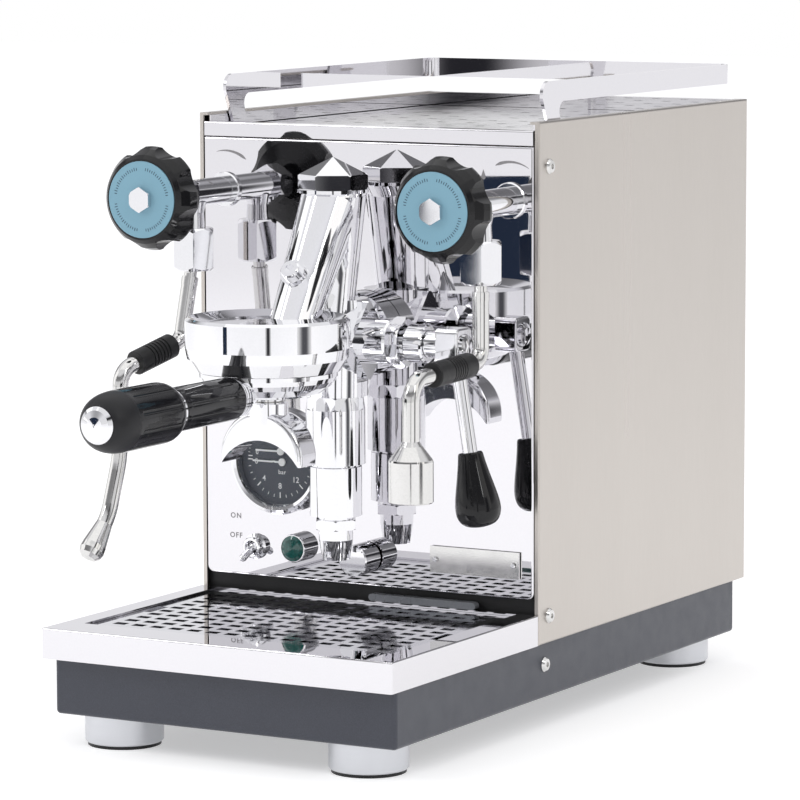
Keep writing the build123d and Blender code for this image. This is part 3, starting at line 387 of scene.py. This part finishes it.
def glowing(name, color):
    """A card that gives off one even colour and reflects nothing."""
    made = bpy.data.materials.new(name)
    made.use_nodes = True
    shader = made.node_tree.nodes["Principled BSDF"]
    shader.inputs["Base Color"].default_value = (0, 0, 0, 1)
    shader.inputs["Roughness"].default_value = 1.0
    shader.inputs["Specular IOR Level"].default_value = 0.0
    shader.inputs["Emission Color"].default_value = (*color, 1)
    shader.inputs["Emission Strength"].default_value = 1.0
    return made


def soften(made, axis, shade):
    """Fades a dark card to white towards its two upright edges."""
    tree = made.node_tree
    coord = tree.nodes.new("ShaderNodeTexCoord")
    split = tree.nodes.new("ShaderNodeSeparateXYZ")
    link(tree, coord.outputs["Generated"], split.inputs[0])
    ramp = tree.nodes.new("ShaderNodeValToRGB")
    ramp.color_ramp.interpolation = "EASE"
    for element, position in zip(ramp.color_ramp.elements, (0.0, 1.0)):
        element.position, element.color = position, (0.9, 0.9, 0.9, 1)
    for position in (0.4, 0.6):
        ramp.color_ramp.elements.new(position).color = (*shade, 1)
    link(tree, split.outputs[axis], ramp.inputs["Fac"])
    link(tree, ramp.outputs["Color"], tree.nodes["Principled BSDF"].inputs["Emission Color"])


floor_finish = finish_of("floor_white", (0.80, 0.80, 0.805), 0.0, (0.9, 0.95), 0.003, 2.0)
shader = floor_finish.node_tree.nodes["Principled BSDF"]
shader.inputs["Specular IOR Level"].default_value = 0.0
shader.inputs["Emission Color"].default_value = (1, 1, 1, 1)
shader.inputs["Emission Strength"].default_value = 0.44
FLOOR_SIDE = 16
plane("floor", (0, 0, 0), (0, 0, 1), FLOOR_SIDE, FLOOR_SIDE, floor_finish)

world = bpy.data.worlds.new("studio")
bpy.context.scene.world = world
world.use_nodes = True
tree = world.node_tree
back = tree.nodes["Background"]
coord = tree.nodes.new("ShaderNodeTexCoord")
split = tree.nodes.new("ShaderNodeSeparateXYZ")
link(tree, coord.outputs["Generated"], split.inputs[0])
ramp = tree.nodes.new("ShaderNodeValToRGB")
COOLER = 1.03
stops = [(0.0, 0.92), (0.20, 0.88), (0.30, 0.32), (0.48, 0.22), (0.56, 0.7), (0.66, 0.95), (1.0, 0.9)]
for element, (position, value) in zip(ramp.color_ramp.elements, (stops[0], stops[-1])):
    element.position, element.color = position, (value, value, value, 1)
for position, value in stops[1:-1]:
    element = ramp.color_ramp.elements.new(position)
    element.color = (value, value, value * COOLER, 1)
link(tree, split.outputs["Z"], ramp.inputs["Fac"])
paths = tree.nodes.new("ShaderNodeLightPath")
pick = tree.nodes.new("ShaderNodeMix")
pick.data_type = "RGBA"
pick.inputs[7].default_value = (1, 1, 1, 1)
link(tree, paths.outputs["Is Camera Ray"], pick.inputs[0])
link(tree, ramp.outputs["Color"], pick.inputs[6])
link(tree, pick.outputs[2], back.inputs["Color"])
back.inputs["Strength"].default_value = 1.0

for name, centre, normal, width, height, shade in (
    ("box_top", (0.1, -0.2, 2.2), (0, 0, -1), 2.6, 2.2, (1.25, 1.25, 1.25)),
    ("box_left", (-2.2, -0.9, 1.1), (1, 0.35, -0.3), 1.6, 1.8, (1.35, 1.35, 1.35)),
    ("box_right", (2.4, -0.2, 1.2), (-1, 0.1, -0.3), 1.4, 1.8, (1.25, 1.23, 1.20)),
    ("strip_left", (-1.3, -1.5, 1.5), (0.6, 0.7, -0.6), 0.22, 1.1, (9.0, 9.0, 9.0)),
    ("strip_right", (1.9, -0.9, 1.6), (-0.8, 0.4, -0.6), 0.16, 1.0, (8.0, 8.0, 8.0)),
):
    plane(name, centre, normal, width, height, glowing(name, shade)).visible_camera = False
for name, centre, normal, width, height, shade in (
    ("flag_navy", (-0.585, -1.22, 0.150), (0.49, 0.87, 0), 0.13, 0.15, (0.020, 0.030, 0.055)),
    ("flag_front", (0.60, -1.12, 0.42), (-0.5, 0.87, 0), 0.16, 0.84, (0.03, 0.03, 0.035)),
    ("flag_right", (1.10, -0.30, 0.30), (-1, 0.25, 0), 0.42, 0.60, (0.10, 0.10, 0.11)),
):
    shine = glowing(name, shade)
    if name != "flag_navy":
        soften(shine, 0 if name == "flag_front" else 1, shade)
    flag = plane(name, centre, normal, width, height, shine)
    flag.visible_camera = flag.visible_diffuse = flag.visible_shadow = False

# ------------------------------------------------------------------ camera

scene = bpy.context.scene
scene.view_settings.view_transform = "Standard"
ROLL_DEGREES = -0.18
eye = Vector((1.27007, -2.24250, 0.49747))
target = Vector((-0.02595, 0.03287, 0.17624))
lens = bpy.data.cameras.new("camera")
lens.sensor_width, lens.lens = 36.0, 196.57
lens.clip_start, lens.clip_end = 0.05, 60
camera = bpy.data.objects.new("camera", lens)
scene.collection.objects.link(camera)
camera.location = eye
camera.rotation_mode = "QUATERNION"
look = (target - eye).to_track_quat("-Z", "Y")
camera.rotation_quaternion = look @ Quaternion((0, 0, 1), math.radians(ROLL_DEGREES))
scene.camera = camera
